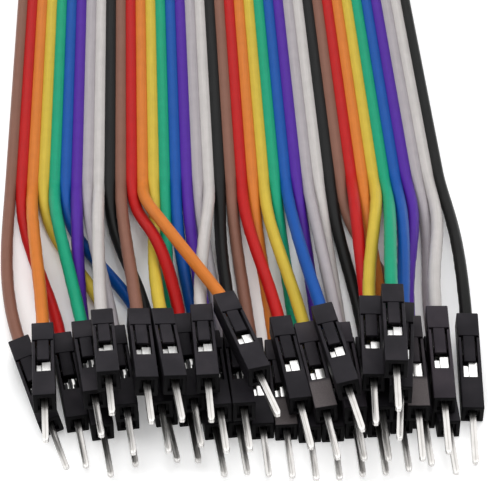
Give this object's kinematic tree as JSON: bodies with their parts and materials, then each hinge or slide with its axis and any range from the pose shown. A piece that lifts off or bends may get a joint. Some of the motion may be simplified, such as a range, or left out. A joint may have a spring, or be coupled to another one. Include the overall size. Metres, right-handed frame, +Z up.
{
  "type": "breadboard jumper wire ribbon",
  "caption": "Flat rainbow ribbon of bonded jumper wires, peeled apart at its ends, with a black single-pin male connector on both ends of each wire.",
  "frame": {"origin": "the surface that the ribbon lies on, under the middle of the whole part from pin tip to pin tip", "axes": "+Z up; +Y along the ribbon from the near, heaped connectors to the far, neatly stacked ones; +X to the right of a viewer looking along +Y"},
  "size_m": [0.0563, 0.201, 0.0124],
  "materials": {
    "ribbon_insulation": "smooth satin vinyl, ten colours in turn across the ribbon",
    "housing_plastic": "fine matte moulded nylon with a soft sheen",
    "pin_metal": "bright tin plating",
    "insulation_brown": "smooth satin vinyl",
    "insulation_red": "smooth satin vinyl",
    "insulation_orange": "smooth satin vinyl",
    "insulation_yellow": "smooth satin vinyl",
    "insulation_green": "smooth satin vinyl",
    "insulation_blue": "smooth satin vinyl",
    "insulation_purple": "smooth satin vinyl",
    "insulation_grey": "smooth satin vinyl",
    "insulation_white": "smooth satin vinyl",
    "insulation_black": "smooth satin vinyl"
  },
  "bodies": {
    "root": {"ribbon_cable": "ribbon_insulation", "connector_housing_01": "housing_plastic", "connector_housing_02": "housing_plastic", "connector_housing_03": "housing_plastic", "connector_housing_04": "housing_plastic", "connector_housing_05": "housing_plastic", "connector_housing_06": "housing_plastic", "connector_housing_07": "housing_plastic", "connector_housing_08": "housing_plastic", "connector_housing_09": "housing_plastic", "connector_housing_10": "housing_plastic", "connector_housing_11": "housing_plastic", "connector_housing_12": "housing_plastic", "connector_housing_13": "housing_plastic", "connector_housing_14": "housing_plastic", "connector_housing_15": "housing_plastic", "connector_housing_16": "housing_plastic", "connector_housing_17": "housing_plastic", "connector_housing_18": "housing_plastic", "connector_housing_19": "housing_plastic", "connector_housing_20": "housing_plastic", "connector_housing_21": "housing_plastic", "connector_housing_22": "housing_plastic", "connector_housing_23": "housing_plastic", "connector_housing_24": "housing_plastic", "connector_housing_25": "housing_plastic", "connector_housing_26": "housing_plastic", "connector_housing_27": "housing_plastic", "connector_housing_28": "housing_plastic", "connector_housing_29": "housing_plastic", "connector_housing_30": "housing_plastic", "connector_housing_31": "housing_plastic", "connector_housing_32": "housing_plastic", "connector_housing_33": "housing_plastic", "connector_housing_34": "housing_plastic", "connector_housing_35": "housing_plastic", "connector_housing_36": "housing_plastic", "connector_housing_37": "housing_plastic", "connector_housing_38": "housing_plastic", "connector_housing_39": "housing_plastic", "connector_housing_40": "housing_plastic"}
  },
  "joints": []
}
